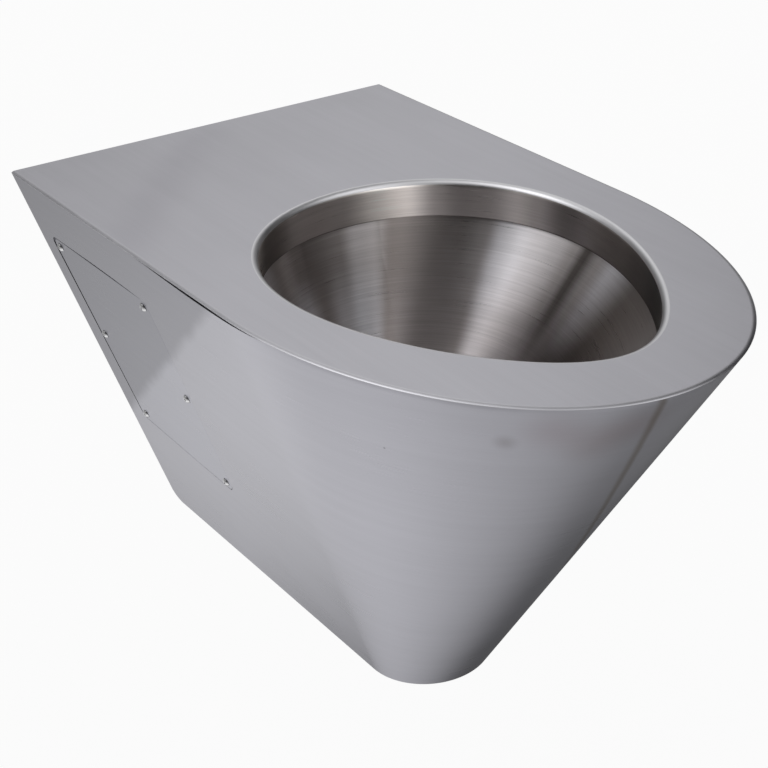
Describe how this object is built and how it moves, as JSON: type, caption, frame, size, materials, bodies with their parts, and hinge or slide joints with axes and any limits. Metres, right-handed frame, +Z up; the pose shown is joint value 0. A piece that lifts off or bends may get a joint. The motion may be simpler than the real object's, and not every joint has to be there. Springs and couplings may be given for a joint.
{
  "type": "wall-hung toilet",
  "caption": "Wall-hung toilet in brushed stainless sheet, with a flat deck, an egg-shaped opening, a tapered casing and a flush access panel in each side.",
  "frame": {"origin": "on the wall, midway between the two fixing holes", "axes": "+Y into the wall, +Z up, +X to the user's left when seated, so the nose points along -Y"},
  "size_m": [0.3584, 0.5939, 0.352],
  "materials": {
    "brushed_sheet": "satin brushed, with faint heat tint along the welds",
    "bowl_steel": "satin, brushed round the bowl",
    "plain_sheet": "mill finish",
    "pipe_steel": "drawn tube, dull",
    "fastener_steel": "bright turned",
    "damping_rubber": "dull"
  },
  "bodies": {
    "pan": {"deck": "brushed_sheet", "bowl": "bowl_steel", "body_shell": "brushed_sheet", "base_sheet": "plain_sheet", "fixing_plate": "plain_sheet", "back_plate": "plain_sheet", "wall_bracket_left": "plain_sheet", "wall_bracket_right": "plain_sheet", "deck_rib_left": "plain_sheet", "deck_rib_right": "plain_sheet", "inlet_socket": "pipe_steel", "flush_pipe": "pipe_steel", "flush_box": "plain_sheet", "flush_deflector": "plain_sheet", "trap_inlet_leg": "pipe_steel", "trap_lower_bend": "pipe_steel", "trap_riser": "pipe_steel", "trap_upper_bend": "pipe_steel", "trap_saddle": "plain_sheet", "outlet_reducer": "pipe_steel", "outlet_pipe": "pipe_steel", "outlet_flange": "plain_sheet", "outlet_spigot": "pipe_steel", "panel_frame_left": "plain_sheet", "panel_frame_right": "plain_sheet", "panel_nuts_left": "fastener_steel", "panel_nuts_right": "fastener_steel", "deck_pad": "damping_rubber", "side_pad_left": "damping_rubber", "side_pad_right": "damping_rubber", "earth_tag": "fastener_steel", "earth_screw": "fastener_steel"},
    "left_panel": {"access_panel_left": "brushed_sheet"},
    "right_panel": {"access_panel_right": "brushed_sheet"},
    "left_screws": {"panel_screws_left": "fastener_steel"},
    "right_screws": {"panel_screws_right": "fastener_steel"}
  },
  "joints": [
    {"name": "left_panel_lift_off", "type": "slide", "parent": "pan", "child": "left_panel", "axis": [-0.9415, 0, -0.337], "range_m": [0, 0.06]},
    {"name": "right_panel_lift_off", "type": "slide", "parent": "pan", "child": "right_panel", "axis": [0.9415, 0, -0.337], "range_m": [0, 0.06]},
    {"name": "left_screws_back_out", "type": "slide", "parent": "left_panel", "child": "left_screws", "axis": [-0.9415, 0, -0.337], "range_m": [0, 0.01]},
    {"name": "right_screws_back_out", "type": "slide", "parent": "right_panel", "child": "right_screws", "axis": [0.9415, 0, -0.337], "range_m": [0, 0.01]}
  ]
}
